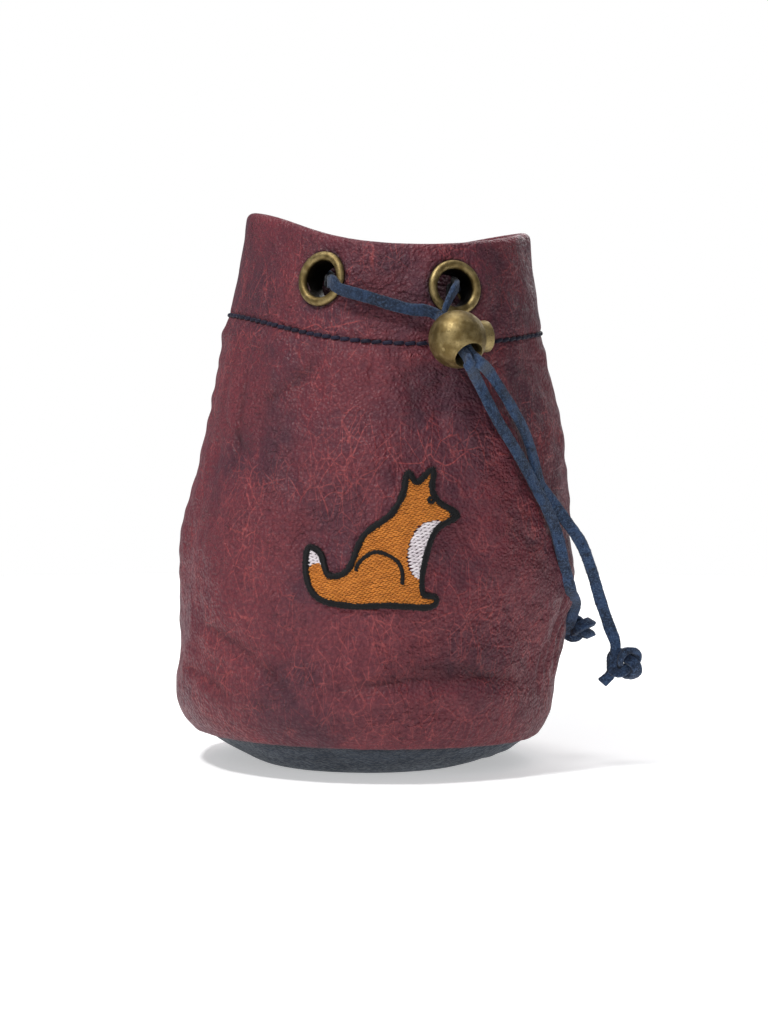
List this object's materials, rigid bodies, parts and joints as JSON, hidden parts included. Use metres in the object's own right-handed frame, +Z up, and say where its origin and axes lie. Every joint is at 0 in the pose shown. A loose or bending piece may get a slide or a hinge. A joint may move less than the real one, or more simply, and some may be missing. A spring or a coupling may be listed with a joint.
{
  "type": "drawstring dice bag",
  "caption": "Round leather drawstring pouch on a turned-up base, with brass eyelets round the mouth, a flat lace through them and a spring ball lock holding its knotted ends.",
  "frame": {"origin": "centre of the flat underside of the base", "axes": "+Z up through the mouth, -Y out of the front with the motif, +X to the right as seen from the front"},
  "size_m": [0.1199, 0.1094, 0.1438],
  "materials": {
    "oxblood_leather": "waxed pull-up leather, distressed, fine grain",
    "navy_leather": "smooth matt leather",
    "antique_brass": "darkened antique brass, worn bright on the high spots",
    "spring_steel": "bright wire",
    "suede_lace": "flat suede lace, napped",
    "orange_thread": "satin embroidery thread",
    "black_thread": "satin embroidery thread",
    "white_thread": "satin embroidery thread",
    "sewing_thread": "bonded sewing thread"
  },
  "bodies": {
    "bag": {"bag_wall": "oxblood_leather", "base_panel": "navy_leather", "hem_needle_thread": "sewing_thread", "hem_bobbin_thread": "sewing_thread", "base_seam_thread": "sewing_thread", "back_seam_thread": "sewing_thread", "embroidery_fill": "orange_thread", "embroidery_border": "black_thread", "embroidery_chest": "white_thread", "embroidery_tail_tip": "white_thread"},
    "mouth_front_right": {"eyelet_front_right": "antique_brass", "washer_front_right": "antique_brass", "lace_inner_right": "suede_lace", "lace_exit_run": "suede_lace", "lace_end_a_upper": "suede_lace", "lace_end_b_upper": "suede_lace"},
    "mouth_front_left": {"eyelet_front_left": "antique_brass", "washer_front_left": "antique_brass", "lace_front_run": "suede_lace", "lace_inner_left": "suede_lace"},
    "mouth_back_left": {"eyelet_back_left": "antique_brass", "washer_back_left": "antique_brass"},
    "mouth_back": {"lace_outer_back": "suede_lace"},
    "mouth_back_right": {"eyelet_back_right": "antique_brass", "washer_back_right": "antique_brass"},
    "cord_lock": {"lock_body": "antique_brass", "lock_spring": "spring_steel"},
    "lock_button": {"lock_plunger": "antique_brass"},
    "lace_end_a": {"lace_end_a_lower": "suede_lace", "lace_knot_a": "suede_lace"},
    "lace_end_b": {"lace_end_b_lower": "suede_lace", "lace_knot_b": "suede_lace"}
  },
  "joints": [
    {"name": "mouth_close", "type": "hinge", "parent": "bag", "child": "mouth_front_right", "pos_m": [0.01906, -0.04405, 0.0074], "axis": [-0.9178, -0.3971, 0], "range_deg": [0, 7], "deforming": ["bag_wall", "hem_needle_thread", "hem_bobbin_thread", "back_seam_thread", "embroidery_fill", "embroidery_border", "embroidery_chest", "embroidery_tail_tip", "lace_inner_left", "lace_outer_back", "lace_inner_right", "lace_front_run"]},
    {"name": "mouth_close_front_left", "type": "hinge", "parent": "mouth_front_right", "child": "mouth_front_left", "pos_m": [-0.0019, -0.05312, 0.0074], "axis": [0.0357, 0.9978, 0.0551], "range_deg": [0, 6.06]},
    {"name": "mouth_close_back_left", "type": "hinge", "parent": "mouth_front_left", "child": "mouth_back_left", "pos_m": [-0.07521, -0.01496, 0.0074], "axis": [0.9801, 0.1949, 0.0383], "range_deg": [0, 10.97]},
    {"name": "mouth_close_back", "type": "hinge", "parent": "mouth_back_left", "child": "mouth_back", "pos_m": [0, 0.07468, 0.0074], "axis": [0, -0.9992, 0.0393], "range_deg": [0, 10.77]},
    {"name": "mouth_close_back_right", "type": "hinge", "parent": "mouth_front_right", "child": "mouth_back_right", "pos_m": [0.07816, -0.01848, 0.0074], "axis": [0.9725, -0.2299, -0.0365], "range_deg": [0, 11.27]},
    {"name": "lock_slide", "type": "slide", "parent": "mouth_front_right", "child": "cord_lock", "axis": [0.4291, -0.6387, -0.6387], "range_m": [0, 0.008], "deforming": ["lace_end_a_upper", "lace_end_b_upper"]},
    {"name": "plunger_press", "type": "slide", "parent": "cord_lock", "child": "lock_button", "axis": [-0.8692, -0.4843, -0.0997], "range_m": [0, 0.0015], "deforming": ["lock_spring"]},
    {"name": "lace_end_a_lift", "type": "hinge", "parent": "mouth_front_right", "child": "lace_end_a", "pos_m": [0.04451, -0.03299, 0.06935], "axis": [0.0349, -0.9994, 0], "range_deg": [0, 30], "deforming": ["lace_end_a_upper", "lace_end_a_lower"]},
    {"name": "lace_end_b_lift", "type": "hinge", "parent": "mouth_front_right", "child": "lace_end_b", "pos_m": [0.04402, -0.03014, 0.07322], "axis": [-0.4695, -0.8829, 0], "range_deg": [0, 30], "deforming": ["lace_end_b_upper", "lace_end_b_lower"]}
  ],
  "couplings": [
    {"joint": "mouth_close_front_left", "follows": "mouth_close", "ratio": 0.85901},
    {"joint": "mouth_close_back_left", "follows": "mouth_close", "ratio": 1.5594},
    {"joint": "mouth_close_back", "follows": "mouth_close", "ratio": 1.5317},
    {"joint": "mouth_close_back_right", "follows": "mouth_close", "ratio": 1.6032}
  ]
}
